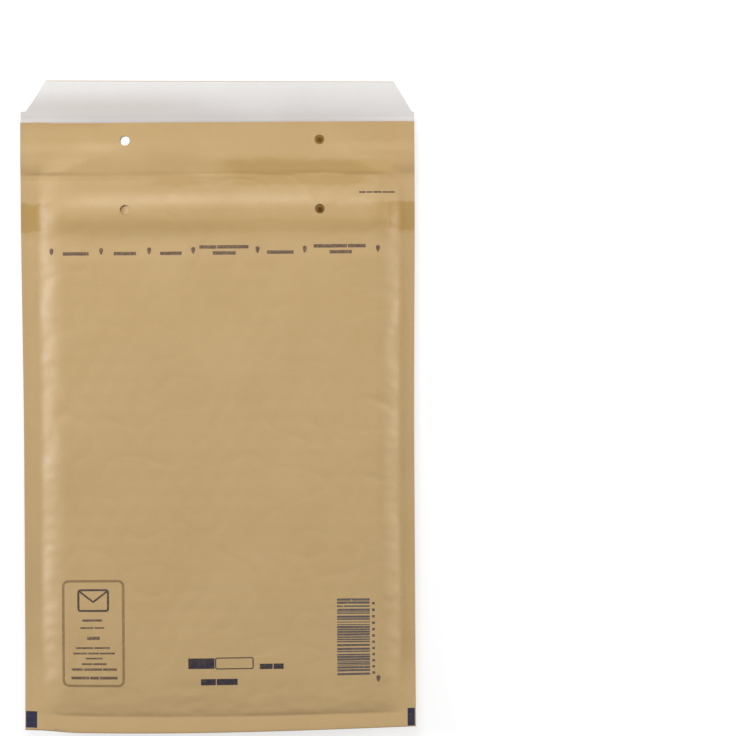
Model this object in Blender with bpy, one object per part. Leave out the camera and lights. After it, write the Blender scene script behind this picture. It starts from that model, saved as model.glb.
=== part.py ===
"""A padded mailing envelope, lying on its back with the mouth towards +Y.

One kraft paper blank is folded up at the bottom edge to make the back panel with its flap, and the
front panel. A bubble film lining with the outline of the padded body is sealed between the two
along the sides and the bottom, where it is pressed flat, and stands up as a pad inside the seams.
A line of hot glue holds each wall of the lining to its panel. The flap carries a strip of adhesive
under a white release strip. One die punches the four clasp holes and trims the flap's corners.

Sizes are in metres. The origin is under the middle of the envelope, on the surface it lies on.
"""

import math

import bmesh
import bpy
from mathutils import Vector

# Outline of the paper
WIDTH = 0.2000  # across the flat paper at the mouth
SIDE_PULL = 0.0010  # how far the standing padding draws in each side edge
PULL_RUN = 0.1400  # length over which the sides are drawn in, down from the fold line
BODY = 0.2835  # bottom edge to the flap's fold line
LIP = 0.0267  # fold line to the front panel's free edge
FLAP = 0.0475  # fold line to the flap's tip
BOTTOM_BOW = 0.0019  # how much further the bottom edge reaches in the middle than at its corners
BOW_FADE = 0.0600  # height over which that bow dies out

# Layers
PAPER = 0.00025
FILM = 0.00012  # one layer of the lining where it is pressed flat
GLUE = 0.00008
GAP = 0.00008  # between two layers that touch on the real envelope
PAD = 0.0026  # height of one wall of bubbles
POCKET = 0.0048  # between the two walls of the lining

# Seams and padding
SIDE_SEAM = 0.0085
BOTTOM_SEAM = 0.0121
SIDE_SHOULDER = 0.0140  # width over which the padding rises beside a side seam
BOTTOM_SHOULDER = 0.0130
LINING_SETBACK = 0.0025  # fold line down to the lining's top edge

# Fold line, lip and flap as they lie
CREASE_DEPTH = 0.0007
CREASE_HALF = 0.0020
ARCH = 0.0360  # width over which the unpadded paper rises from each side, in place of the shoulder
ARCH_RUN = 0.0120  # length over which the shoulder widens into that arch, up from the fold line
LIP_DROOP = 0.0028  # the free edge of the front panel lies this much lower than the padding
LIP_GAPE = 0.0004  # extra gap between the two panels at the mouth's corners
FLAP_LIFT = 0.0020  # highest point of the flap's curl
FLAP_CREST = 0.75  # where that point is, from the fold line to the tip
FLAP_SPREAD = 0.80  # how much of the gutter between the side seams has opened flat at the tip

# Glue lines between the lining and the panels
GLUE_LINE = 0.0141
GLUE_SETBACK = 0.0143  # fold line down to the glue line's upper edge

# Adhesive and release strip on the flap
ADHESIVE = 0.00010
ADHESIVE_BAND = 0.0150
ADHESIVE_TIP_MARGIN = 0.0015
ADHESIVE_CLEAR = 0.0010  # from the adhesive's ends to the flap's cut corners
STRIP = 0.00014
STRIP_TUCK = 0.0052  # how far the release strip runs in behind the lip
STRIP_TIP_MARGIN = 0.0003

# The die: clasp holes in two rows that meet when the flap is folded, and the flap's cut corners
HOLE = 0.0050
HOLE_SPACING = 0.0987
HOLE_TO_FOLD = 0.0176
DIE_SHIFT = 0.0025  # the die struck this far right of the middle
HANGING = 0.0022  # opening beside the disc that still hangs in the front panel's lower left hole
HANGS_AT = math.radians(-45)  # direction from that hole's middle to where its disc is still joined
CHAMFER_WIDE = 0.0091
CHAMFER_LONG = 0.0158
CHAMFER_STEP = 0.0037  # side edge in to the foot of the chamfer, where the die is centred

# Fineness of the mesh
SHOULDER_STEPS = 7
FIELD_COLUMNS = 12
FIELD_ROWS = 7
LIP_ROWS = 6
FLAP_ROWS = 7
BEND_STEPS = 4
HOLE_SIDES = 20
CUT_MARGIN = 0.0030  # how far the die's tools reach past the paper

# Worked out from the sizes above
TOTAL = BODY + FLAP
LIP_EDGE = BODY + LIP
LINING_TOP = BODY - LINING_SETBACK
BETWEEN = GLUE + 2 * GAP  # from a panel to the lining, with room for the glue line
MIDDLE = PAPER + BETWEEN + PAD + POCKET / 2  # height of the seams' middle layer
BEND = FILM + BETWEEN + PAPER / 2  # radius of the bottom fold, to the middle of the paper
BEND_CENTRE = BEND + PAPER / 2
TOP = 2 * MIDDLE
CHAMFER_FOOT = TOTAL - CHAMFER_LONG
ADHESIVE_SIDE_MARGIN = CHAMFER_STEP + CHAMFER_WIDE + DIE_SHIFT + ADHESIVE_CLEAR
UNDER_FRONT = TOP - PAPER - GAP / 2  # in the gap between the front panel and what lies behind it


def smooth(t):
    """Eases from 0 to 1 with level ends."""
    t = min(max(t, 0.0), 1.0)
    return t * t * (3 - 2 * t)


def mix(a, b, t):
    return a + (b - a) * t


def half_width(y):
    """Half the envelope's width: full on the flat paper above the fold line, drawn in beside the padding."""
    return WIDTH / 2 - SIDE_PULL * smooth((BODY - y) / PULL_RUN)


def side_fullness(x, y):
    """0 on the side seams and 1 on the padded field, or in the middle of the wider arch above the fold line."""
    rise = mix(SIDE_SHOULDER, ARCH, smooth((y - BODY) / ARCH_RUN))
    return smooth((half_width(y) - abs(x) - SIDE_SEAM) / rise)


def fullness(x, y):
    """0 on all three seams and 1 on the padded field, with rounded corners between them."""
    return side_fullness(x, y) * smooth((y - BOTTOM_SEAM) / BOTTOM_SHOULDER)


def crease(y):
    """Depth of the pressed fold line, a shallow V."""
    return CREASE_DEPTH * max(0.0, 1 - abs(y - BODY) / CREASE_HALF)


def back_height(x, y):
    """The middle of the back panel's paper: on the floor under the padding, then the flap's low curl."""
    seam = MIDDLE - BEND
    if y <= BODY:
        return mix(seam, PAPER / 2, fullness(x, y))
    along = (y - BODY) / FLAP
    centre = PAPER / 2 + FLAP_LIFT * (1 - ((along - FLAP_CREST) / FLAP_CREST) ** 2)
    side = mix(seam, centre, FLAP_SPREAD * smooth(along))
    return mix(side, centre, side_fullness(x, y))


def front_height(x, y):
    """The middle of the front panel's paper: over the padding, then drooping to its free edge."""
    field = TOP - PAPER / 2 - crease(y)
    if y <= BODY:
        return mix(MIDDLE + BEND, field, fullness(x, y))
    along = (y - BODY) / LIP
    side = back_height(half_width(y), y) + 2 * BEND + LIP_GAPE * along
    return mix(side, field - LIP_DROOP * smooth(along), side_fullness(x, y))


def lining_height(x, y, face):
    """The lining's outer face, on the front (face 1) or the back (face -1)."""
    return MIDDLE + face * mix(FILM, POCKET / 2 + PAD, fullness(x, y))


def pocket_height(x, y, face):
    """The lining's inner face. The two walls part by a hair along the seams."""
    return MIDDLE + face * mix(FILM / 3, POCKET / 2, fullness(x, y))


def steps(start, end, count):
    """Evenly spaced values from start up to, but not including, end."""
    return [mix(start, end, i / count) for i in range(count)]


def columns(y, inset=0.0):
    """Places across the envelope at height y: the edges, less the inset, the shoulders and the field."""
    edge = half_width(y) - inset
    field = half_width(y) - SIDE_SEAM - SIDE_SHOULDER
    left = steps(-field - SIDE_SHOULDER, -field, SHOULDER_STEPS)
    inner = left + steps(-field, field, FIELD_COLUMNS) + [field] + [-x for x in reversed(left)]
    return [-edge] + [x for x in inner if abs(x) < edge - GAP] + [edge]


def body_rows():
    """Heights of the mesh rows from the bottom fold up to the fold line."""
    shoulder_top = BOTTOM_SEAM + BOTTOM_SHOULDER
    rows = [BEND_CENTRE] + steps(BOTTOM_SEAM, shoulder_top, SHOULDER_STEPS)
    rows += steps(shoulder_top, BODY - CREASE_HALF, FIELD_ROWS)
    return rows + [BODY - CREASE_HALF, BODY]


def upper_rows(end, count):
    """Heights of the mesh rows above the fold line, up to end."""
    return steps(BODY + CREASE_HALF, end, count) + [end]


def rows_between(rows, low, high):
    """The rows inside a band, with the band's own ends."""
    return [low] + [y for y in rows if low < y < high] + [high]


def place(x, y, z):
    """A point of the envelope, with the bottom edge's bow, in the frame that has the middle at the origin."""
    bow = BOTTOM_BOW * (x / half_width(y)) ** 2 * (1 - smooth(y / BOW_FADE))
    return Vector((x, y + bow - TOTAL / 2, z))


def material(name, colour, roughness):
    made = bpy.data.materials.new(name)
    made.use_nodes = True
    shader = made.node_tree.nodes["Principled BSDF"]
    shader.inputs["Base Color"].default_value = (*colour, 1.0)
    shader.inputs["Roughness"].default_value = roughness
    shader.inputs["Metallic"].default_value = 0.0
    return made


def add_object(name, bm, finish=None):
    """Turns a bmesh into an object of the scene. One with no finish is a tool of the die, not a piece."""
    mesh = bpy.data.meshes.new(name)
    bm.to_mesh(mesh)
    bm.free()
    made = bpy.data.objects.new(name, mesh)
    if finish is None:
        made.hide_render = True
        made.display_type = "WIRE"
        return made
    bpy.context.scene.collection.objects.link(made)
    mesh.materials.append(finish)
    mesh.shade_smooth()
    mesh.set_sharp_from_angle(angle=math.radians(35))
    return made


def add_rows(bm, rows):
    """Adds rows of points and the quads between each row and the next. Returns the rows of vertices."""
    verts = [[bm.verts.new(point) for point in row] for row in rows]
    for lower, upper in zip(verts, verts[1:]):
        for i in range(len(lower) - 1):
            bm.faces.new((lower[i], lower[i + 1], upper[i + 1], upper[i]))
    return verts


def slab(rows, low, high, inset=0.0):
    """A closed sheet over the given rows, between two height functions of x and y."""
    bm = bmesh.new()

    def layer(height):
        return [[place(x, y, height(x, y)) for x in columns(y, inset)] for y in rows]

    under = add_rows(bm, layer(low))
    over = add_rows(bm, layer(high))
    rim_under = under[0] + [r[-1] for r in under[1:]] + under[-1][-2::-1] + [r[0] for r in under[-2:0:-1]]
    rim_over = over[0] + [r[-1] for r in over[1:]] + over[-1][-2::-1] + [r[0] for r in over[-2:0:-1]]
    for i in range(len(rim_under)):
        bm.faces.new((rim_under[i - 1], rim_under[i], rim_over[i], rim_over[i - 1]))
    bmesh.ops.recalc_face_normals(bm, faces=bm.faces)
    return bm


def cut(piece, tools):
    """Takes every tool in a collection out of the piece."""
    modifier = piece.modifiers.new("die", "BOOLEAN")
    modifier.operation = "DIFFERENCE"
    modifier.solver = "EXACT"
    modifier.operand_type = "COLLECTION"
    modifier.collection = tools


def punch(x, y, low, high):
    """A round punch between two heights."""
    bm = bmesh.new()
    bmesh.ops.create_cone(
        bm, cap_ends=True, segments=HOLE_SIDES, radius1=HOLE / 2, radius2=HOLE / 2, depth=high - low
    )
    bmesh.ops.translate(bm, verts=bm.verts, vec=(x, y - TOTAL / 2, (low + high) / 2))
    return add_object("punch", bm)


def hanging_punch(x, y, low, high):
    """The crescent opened by a punch whose disc still hangs on: its circle, less the disc's share of it."""
    radius = HOLE / 2
    corner = math.acos(HANGING / HOLE)
    outline = []
    for i in range(HOLE_SIDES + 1):
        turn = HANGS_AT + mix(corner, 2 * math.pi - corner, i / HOLE_SIDES)
        outline.append((x + radius * math.cos(turn), y + radius * math.sin(turn)))
    disc_x = x + HANGING * math.cos(HANGS_AT)
    disc_y = y + HANGING * math.sin(HANGS_AT)
    for i in range(1, HOLE_SIDES // 2):
        turn = HANGS_AT + math.pi + mix(corner, -corner, i / (HOLE_SIDES // 2))
        outline.append((disc_x + radius * math.cos(turn), disc_y + radius * math.sin(turn)))
    return prism("hanging_punch", outline, low, high)


def prism(name, outline, low, high):
    """A cutter with the given outline in the envelope's x and y, between two heights."""
    bm = bmesh.new()
    face = bm.faces.new([bm.verts.new((x, y - TOTAL / 2, low)) for x, y in outline])
    raised = bmesh.ops.extrude_face_region(bm, geom=[face])["geom"]
    top = [v for v in raised if isinstance(v, bmesh.types.BMVert)]
    bmesh.ops.translate(bm, verts=top, vec=(0, 0, high - low))
    bmesh.ops.recalc_face_normals(bm, faces=bm.faces)
    return add_object(name, bm)


def corner_offcut(side):
    """What the die trims from the flap on one side (-1 left, 1 right): a step in, then a chamfer to the tip."""
    foot = side * (WIDTH / 2 - CHAMFER_STEP) + DIE_SHIFT
    lean = side * CHAMFER_WIDE / CHAMFER_LONG
    outside = side * (WIDTH / 2 + CUT_MARGIN)
    past_tip = TOTAL + CUT_MARGIN
    outline = [
        (foot, CHAMFER_FOOT),
        (outside, CHAMFER_FOOT),
        (outside, past_tip),
        (foot - lean * (past_tip - CHAMFER_FOOT), past_tip),
    ]
    return prism("corner_offcut", outline, -CUT_MARGIN, TOP + CUT_MARGIN)


def die_tools():
    """The punches and the corner offcuts, as one collection of cutters."""
    tools = bpy.data.collections.new("die_tools")
    bpy.context.scene.collection.children.link(tools)
    below = -CUT_MARGIN
    above = TOP + CUT_MARGIN
    for side in (-1, 1):
        tools.objects.link(corner_offcut(side))
        x = side * HOLE_SPACING / 2 + DIE_SHIFT
        tools.objects.link(punch(x, BODY + HOLE_TO_FOLD, below, above))
        if side > 0:
            tools.objects.link(punch(x, BODY - HOLE_TO_FOLD, below, above))
        else:
            tools.objects.link(punch(x, BODY - HOLE_TO_FOLD, below, UNDER_FRONT - GAP / 4))
            tools.objects.link(hanging_punch(x, BODY - HOLE_TO_FOLD, UNDER_FRONT + GAP / 4, above))
    tools.hide_render = True
    return tools


def kraft_outer(finish, tools):
    """The folded blank: front panel from its free edge down, round the bottom fold, and up the back to the tip."""
    rows = []
    for y in reversed(body_rows() + upper_rows(LIP_EDGE, LIP_ROWS)):
        rows.append([place(x, y, front_height(x, y)) for x in columns(y)])
    for i in range(1, BEND_STEPS):
        turn = math.pi * i / BEND_STEPS
        y = BEND_CENTRE - BEND * math.sin(turn)
        z = MIDDLE + BEND * math.cos(turn)
        rows.append([place(x, y, z) for x in columns(y)])
    for y in body_rows() + upper_rows(TOTAL, FLAP_ROWS):
        rows.append([place(x, y, back_height(x, y)) for x in columns(y)])
    bm = bmesh.new()
    add_rows(bm, rows)
    bmesh.ops.reverse_faces(bm, faces=bm.faces)
    blank = add_object("kraft_outer", bm, finish)
    thickness = blank.modifiers.new("paper thickness", "SOLIDIFY")
    thickness.thickness = PAPER
    thickness.offset = 0.0
    thickness.use_even_offset = True
    cut(blank, tools)
    return blank


def pocket_cutter():
    """The space between the lining's two walls, run out past the lining's top edge."""
    rows = [y for y in body_rows() if BOTTOM_SEAM <= y < LINING_TOP] + [LINING_TOP, LINING_TOP + CUT_MARGIN]
    bm = slab(
        rows,
        lambda x, y: pocket_height(x, y, -1),
        lambda x, y: pocket_height(x, y, 1),
        inset=SIDE_SEAM * 0.97,
    )
    return add_object("pocket", bm)


def bubble_liner(finish, tools):
    """The lining: a padded wall on each side of the pocket, fused and pressed flat along the three seams."""
    rows = rows_between(body_rows(), BEND_CENTRE + GAP, LINING_TOP)
    bm = slab(rows, lambda x, y: lining_height(x, y, -1), lambda x, y: lining_height(x, y, 1))
    lining = add_object("bubble_liner", bm, finish)
    pockets = bpy.data.collections.new("pocket_tools")
    bpy.context.scene.collection.children.link(pockets)
    pockets.objects.link(pocket_cutter())
    pockets.hide_render = True
    cut(lining, pockets)
    cut(lining, tools)
    return lining


def glue_line(name, face, finish, tools):
    """The line of hot glue between the lining and the front (face 1) or the back panel (face -1)."""
    top = BODY - GLUE_SETBACK
    rows = rows_between(body_rows(), top - GLUE_LINE, top)

    def inner(x, y):
        return lining_height(x, y, face) + face * GAP

    def outer(x, y):
        return inner(x, y) + face * GLUE

    low, high = (inner, outer) if face > 0 else (outer, inner)
    line = add_object(name, slab(rows, low, high), finish)
    cut(line, tools)
    return line


def on_flap(start, end, rise, thickness, side_margin):
    """A sheet that lies on the flap between two heights along it, rise above the paper's face."""
    rows = rows_between(upper_rows(TOTAL, FLAP_ROWS), start, end)

    def low(x, y):
        return back_height(x, y) + PAPER / 2 + rise

    def high(x, y):
        return low(x, y) + thickness

    return slab(rows, low, high, inset=side_margin)


def flap_adhesive(finish):
    """The adhesive band near the flap's tip, clear of the cut corners."""
    end = TOTAL - ADHESIVE_TIP_MARGIN
    bm = on_flap(end - ADHESIVE_BAND, end, GAP, ADHESIVE, ADHESIVE_SIDE_MARGIN)
    return add_object("flap_adhesive", bm, finish)


def release_strip(finish, tools):
    """The white strip over the adhesive, cut to the flap's outline and tucked in behind the lip."""
    bm = on_flap(LIP_EDGE - STRIP_TUCK, TOTAL - STRIP_TIP_MARGIN, 2 * GAP + ADHESIVE, STRIP, 0.0)
    strip = add_object("release_strip", bm, finish)
    cut(strip, tools)
    return strip


def clear_scene():
    for old in list(bpy.data.objects):
        bpy.data.objects.remove(old)


def main():
    clear_scene()
    kraft = material("brown kraft paper", (0.53, 0.37, 0.185), 0.62)
    film = material("bubble film", (0.78, 0.80, 0.80), 0.28)
    glue = material("hot glue", (0.50, 0.33, 0.13), 0.35)
    adhesive = material("clear adhesive", (0.80, 0.78, 0.68), 0.30)
    silicone_paper = material("white release paper", (0.80, 0.78, 0.75), 0.45)
    tools = die_tools()
    kraft_outer(kraft, tools)
    bubble_liner(film, tools)
    glue_line("front_glue_line", 1, glue, tools)
    glue_line("back_glue_line", -1, glue, tools)
    flap_adhesive(adhesive)
    release_strip(silicone_paper, tools)


main()
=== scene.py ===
"""Looks for the padded envelope: the folded paper, the bubble film, glue, release strip and print.

Metres, in the frame of the CAD part: +X right, +Y towards the flap, +Z up, the middle of the outline at
the origin. The shape functions take x across the envelope and y up from its bottom edge, as the paper
is cut, and placed() moves them into the frame. They hold whole arrays of points.
"""

import math

import bpy
import numpy as np
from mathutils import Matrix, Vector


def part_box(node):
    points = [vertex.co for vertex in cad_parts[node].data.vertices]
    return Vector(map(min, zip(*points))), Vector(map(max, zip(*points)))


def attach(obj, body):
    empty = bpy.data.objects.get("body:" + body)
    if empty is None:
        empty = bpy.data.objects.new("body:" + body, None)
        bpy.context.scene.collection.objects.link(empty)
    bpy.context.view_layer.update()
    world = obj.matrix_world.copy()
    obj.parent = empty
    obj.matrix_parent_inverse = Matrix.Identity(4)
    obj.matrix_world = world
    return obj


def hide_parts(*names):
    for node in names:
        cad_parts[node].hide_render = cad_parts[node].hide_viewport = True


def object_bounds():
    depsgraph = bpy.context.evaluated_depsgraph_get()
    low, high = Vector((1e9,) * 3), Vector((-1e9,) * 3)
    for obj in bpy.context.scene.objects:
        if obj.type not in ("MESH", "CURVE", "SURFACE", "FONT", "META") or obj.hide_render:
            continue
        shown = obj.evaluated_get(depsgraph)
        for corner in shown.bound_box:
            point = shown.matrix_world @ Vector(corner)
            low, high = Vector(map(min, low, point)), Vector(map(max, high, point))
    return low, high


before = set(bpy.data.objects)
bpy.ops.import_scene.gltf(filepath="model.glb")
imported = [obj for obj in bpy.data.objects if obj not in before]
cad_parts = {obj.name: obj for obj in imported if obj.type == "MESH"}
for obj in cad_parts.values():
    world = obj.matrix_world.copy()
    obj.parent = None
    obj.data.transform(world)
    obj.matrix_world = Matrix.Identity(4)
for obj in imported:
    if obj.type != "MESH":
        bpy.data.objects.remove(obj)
cad_low, cad_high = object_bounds()

# Outline, from the frame and from the paper's own cut sizes
WIDTH = cad_high.x - cad_low.x
TOTAL = cad_high.y - cad_low.y
TOP = cad_high.z
MIDDLE = TOP / 2
BODY = 0.2835  # bottom edge to the flap's fold line
STRIP_TUCK = 0.0052  # how far the release strip runs in behind the lip
LIP_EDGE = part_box("release_strip")[0].y + STRIP_TUCK - cad_low.y
FLAP = TOTAL - BODY
LIP = LIP_EDGE - BODY
SIDE_PULL = 0.0010
PULL_RUN = 0.1400

# An ease is (start, run), and with a third number it says by what share something grows less there.
# Eases at the left side count from the middle of the paper to the left.
BOTTOM_BOW = 0.0019
BOW_FADE = 0.0600
BOTTOM_SKEW = 0.0015  # the bottom edge is folded a little askew: this much further up at the right
SKEW_EASE = (-0.080, 0.165)
BOTTOM_CORNER = 0.0008  # and this much further up at its left corner
CORNER_EASE = (0.072, 0.020)

# Layers and seams
PAPER = 0.00025
FILM = 0.00012
GLUE = 0.00008
GAP = 0.00008
BETWEEN = GLUE + 2 * GAP
POCKET = 0.0048
SIDE_SEAM = 0.0085
SEAM_NARROWER = 0.0018  # how much less wide the right seam is than the left one
SIDE_SHOULDER = 0.0140
SIDE_POWER = 0.70  # below 1 the padding stands up more quickly from its seams
BOTTOM_SEAM = 0.0083
SEAM_SLANT = 0.006  # the bottom seam runs down to the right by this slope
BOTTOM_SHOULDER = 0.0300
BOTTOM_POWER = 3.0
SEAM_CREASE_SHARE = 0.23  # of the bottom rise, taken by the narrow crease at the seam
SEAM_CREASE_RUN = 0.0046
POCKET_SHOULDER = 0.0130
BOTTOM_LIFT = 0.0026  # how far the bottom seam stands up from the side seams' level
LIFT_RUN = 0.0450
BOTTOM_CURL = 0.0008  # how far the bottom edge curls up from its seam
BEND = FILM + BETWEEN + PAPER / 2
BEND_CENTRE = BEND + PAPER / 2
LINING_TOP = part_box("bubble_liner")[1].y - cad_low.y

# Lip and flap as they lie
ARCH = 0.0360
ARCH_RUN = 0.0120
SINK = 0.0018  # how far the front lies lower beside the fold line
SINK_SHELF = 0.0070  # level part of that, below the fold line
SINK_RUN = 0.0110
SINK_LESS_RIGHT = (0.010, 0.060, 0.35)
SINK_LESS_LEFT = (0.062, 0.020, 0.45)
LIP_SINK = 0.0012
LIP_RUN = 0.0120
LIP_DROOP = 0.0016
LIP_SPRING = 0.0010  # how far the lip's free sides spring up from the seams' level
LIP_SPRING_RUN = 0.0060
FLAP_LIFT = 0.0020
FLAP_CREST = 0.75
FLAP_SPREAD = 0.80
TIP_OUT = 0.0004  # the tip is cut a little askew: this much further out in the middle
TIP_SKEW = 0.0092  # and this much less for each unit of x to the right

# Glue lines, adhesive and release strip
GLUE_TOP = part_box("front_glue_line")[1].y - cad_low.y
GLUE_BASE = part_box("front_glue_line")[0].y - cad_low.y
GLUE_RAGGED = 0.0007
GLUE_ACROSS = 0.999  # share of the paper's width
GLUE_FILLS = 0.9  # share of the room left for it
ADHESIVE = 0.00010
STRIP = 0.00014
STRIP_TIP_MARGIN = 0.0003
STRIP_RIPPLE = 0.00012
RIPPLE_RUN = 0.0040

# The die
HOLE = 0.0050
HOLE_SPACING = 0.0987
HOLE_TO_FOLD = 0.0176
DIE_SHIFT = 0.0025
CHAMFER_WIDE = 0.0091
CHAMFER_LONG = 0.0158
CHAMFER_FOOT = TOTAL - CHAMFER_LONG
CHAMFER_STEP = 0.0037
LEFT_CUT = 0.0035  # the left corner is cut this much further out, from the die's middle
LEFT_LEAN = 1.1  # and its chamfer leans this much more
LEFT_STEP_UP = 0.0012  # and its step lies this much higher
LEFT_STEP_EASE = (0.080, 0.010)
LEFT_STEP_HALF = 0.0050
LOWER_HOLES = [(side * HOLE_SPACING / 2 + DIE_SHIFT, BODY - HOLE_TO_FOLD) for side in (-1, 1)]
UPPER_HOLES = [(side * HOLE_SPACING / 2 + DIE_SHIFT, BODY + HOLE_TO_FOLD) for side in (-1, 1)]
DISC = 0.97 * HOLE  # the disc that still hangs in the lower left hole
DISC_POINTS = 11
DISC_TILT = math.radians(15)
DISC_HINGE = math.radians(-45)  # direction from its middle to where it is joined

# Bubbles of the lining, in rows like a honeycomb
BUBBLES_ACROSS = 18
BUBBLE_PITCH = WIDTH / BUBBLES_ACROSS
BUBBLE_ROW = BUBBLE_PITCH * math.sqrt(3) / 2
BUBBLE = 0.0100
MOUTH_SEAL = 0.0020
BUBBLES_FULL = 0.25  # fullness from which the bubbles stand at full height

# Fineness of the grids. A zone is its middle, its half and its fineness
CELL = 0.0014
FOLD_CELL = 0.0006
BACK_CELL = 0.0052
FLAP_CELL = 0.0028
BAND_CELL = 0.0020
STRIP_CELL = 0.0015
FRONT_ZONES = [(BODY, 0.004, FOLD_CELL), (BOTTOM_SEAM + 0.001, 0.003, FOLD_CELL)]
BACK_ZONES = [(y, 0.013, CELL) for _, y in (LOWER_HOLES[0], UPPER_HOLES[0])] + [(0.0180, 0.010, 0.0016)]
FILM_COLUMNS = 7 * BUBBLES_ACROSS
FILM_ROW_CELLS = 6
BEND_ROWS = 8
GLUE_ROWS = 12
ADHESIVE_ROWS = 9
HOLE_RING = 3  # cells from a hole's middle to its edge, before the grid is drawn in to the round
HOLE_REACH = 6  # cells over which the grid is drawn in
SQUEEZE_FROM = 0.0700  # the flap's grid is narrowed to its cut corners outside this
STEP_ROW = 0.00004
SHARP_ANGLE = math.radians(45)

# How the front panel's paper has creased and bulged. A mark is (middle, half)
TELEGRAPH = 0.000045
TELEGRAPH_AT_SIDES = 0.30
FIELD_EASE = (0.0170, 0.0120)
CREST_UP = 0.00045
CREST = (BODY - 0.0214, 0.0062)
TROUGH_DOWN = 0.00055
TROUGH = (BODY - 0.0330, 0.0062)
BAND_VARIES = 0.35
BAND_LESS = (0.045, 0.030, 0.35)
WRINKLE = 0.00019
LINE_SHARE, LINE_SHARPNESS = 0.8, 6
PLEAT = 0.00030
LIP_WAVE = 0.00030
STREAK = 0.00007
STREAK_SPREAD = 0.030
SIDE_FADE = 0.020
STEEP = 0.0008  # the front drops by this over the fold line at the right of the middle
STEEP_UP, STEEP_ABOVE, STEEP_BELOW = 0.0010, 0.0060, 0.0130
STEEP_EASE = (0.002, 0.012)
STEEP_SIDE_EASE = (0.008, 0.020)
LIP_STEP = 0.0008  # the lip's two ends lie lower by this
LIP_STEP_EASE = (BODY + 0.0105, 0.0075)
LIP_ENDS = ((0.035, 0.030), (0.040, 0.030))
LIP_CURL = 0.0003  # its left end curls up by this at the edge
LIP_CURL_EASE = (0.040, 0.030)
LIP_CURL_RUN = 0.0022
SEAM_RISE = 0.00045  # the left seam rises by this before its shoulder
SEAM_RISE_EASE = (0.0030, 0.0060)
CREASE_DEPTH = 0.0008
CREASE_UP = 0.0002
CREASE_WANDER = 0.0004
CREASE_ABOVE = 0.0011  # the crease's width towards the lip, and towards the bottom
CREASE_BELOW = 0.0055
CREASE_LEFT, CREASE_LEFT_DEPTH = (-0.0840, 0.0130), 1.15
CREASE_RIGHT, CREASE_RIGHT_DEPTH = (0.0010, 0.0100), 0.50
CREASE_RIGHT_LESS = (0.0780, 0.0120, 0.75)
CREASE_FAINT, CREASE_VARIES = 0.30, 0.12
DENTS = (  # x, y, half across, half up, slope, depth: a dimple at the left, two creases at the right
    (-0.0795, 0.1625, 0.0050, 0.0028, 0.25, 0.00045),
    (0.0835, 0.1668, 0.0060, 0.0016, -0.45, 0.00040),
    (0.0800, 0.1290, 0.0075, 0.0016, -0.20, 0.00035),
)

INK = 0.00003
INK_LIFT = 0.00003


def eased(t):
    """Eases from 0 to 1 with level ends: t squared times three less two t."""
    t = np.clip(t, 0.0, 1.0)
    return t * t * (3 - 2 * t)


def ease_in(value, start, run):
    """0 up to the start and 1 from start + run on, eased between."""
    return eased((value - start) / run)


def less(value, start, run, share):
    """1 up to the start, easing down by the share from there to start + run."""
    return 1 - share * ease_in(value, start, run)


def mixed(a, b, t):
    """a where t is 0, b where t is 1, and in proportion between."""
    return a + (b - a) * t


def bell(value, middle, half):
    """A bump of height 1: e to the power of minus ((value - middle) / half) squared."""
    return np.exp(-(((value - middle) / half) ** 2))


def dip(d, above, below):
    """A dip of depth 1 at d = 0: e to the power of minus (d / width) squared, with a width for each side."""
    return np.exp(-((d / np.where(d > 0, above, below)) ** 2))


def rough(x, y, short, long, seed, count=22):
    """Uneven ground, about -1 to 1: plane waves of random direction, phase and length, added up."""
    draw = np.random.default_rng(seed)
    turn = draw.uniform(0, math.pi, count)
    wave = 2 * math.pi / draw.uniform(short, long, count)
    phase = draw.uniform(0, 2 * math.pi, count)
    total = np.zeros(np.broadcast(x, y).shape)
    for i in range(count):
        total += np.sin(wave[i] * (x * math.cos(turn[i]) + y * math.sin(turn[i])) + phase[i])
    return total / math.sqrt(2 * count)


def half_width(y):
    """Half the paper's width: full above the fold line, drawn in by SIDE_PULL beside the padding."""
    return WIDTH / 2 - SIDE_PULL * eased((BODY - y) / PULL_RUN)


def side_fullness(x, y):
    """0 on the side seams and 1 on the field: an eased power of the way in from the seam. Above the fold
    line the rise is wider and its power goes to 1."""
    above = ease_in(y, BODY, ARCH_RUN)
    seam = SIDE_SEAM - SEAM_NARROWER * (x > 0)
    way = np.clip((half_width(y) - np.abs(x) - seam) / mixed(SIDE_SHOULDER, ARCH, above), 0, 1)
    return eased(way ** mixed(SIDE_POWER, 1.0, above))


def fullness(x, y):
    """0 on the three seams and 1 on the padded field: the side rise times the bottom rise, which is
    1 - (1 - way in)^power, steepest at the seam, with a share of it in the narrow crease."""
    inward = y - BOTTOM_SEAM + SEAM_SLANT * x
    wide = 1 - (1 - np.clip(inward / BOTTOM_SHOULDER, 0, 1)) ** BOTTOM_POWER
    narrow = 1 - (1 - np.clip(inward / SEAM_CREASE_RUN, 0, 1)) ** BOTTOM_POWER
    return side_fullness(x, y) * mixed(wide, narrow, SEAM_CREASE_SHARE)


def seam_level(y):
    """Height of the seams' middle layer: MIDDLE, eased up by BOTTOM_LIFT towards the bottom edge."""
    return MIDDLE + BOTTOM_LIFT * (1 - eased(y / LIFT_RUN))


def sink(x, y):
    """How much lower the front lies than the padding's top: SINK on a shelf below the fold line, eased to
    0 further down and to LIP_SINK above the fold line, and less of it towards the sides."""
    deep = SINK * less(x, *SINK_LESS_RIGHT) * less(-x, *SINK_LESS_LEFT)
    below = deep * (1 - eased((BODY - SINK_SHELF - y) / SINK_RUN))
    return np.where(y <= BODY, below, mixed(deep, LIP_SINK, ease_in(y, BODY, LIP_RUN)))


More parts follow.
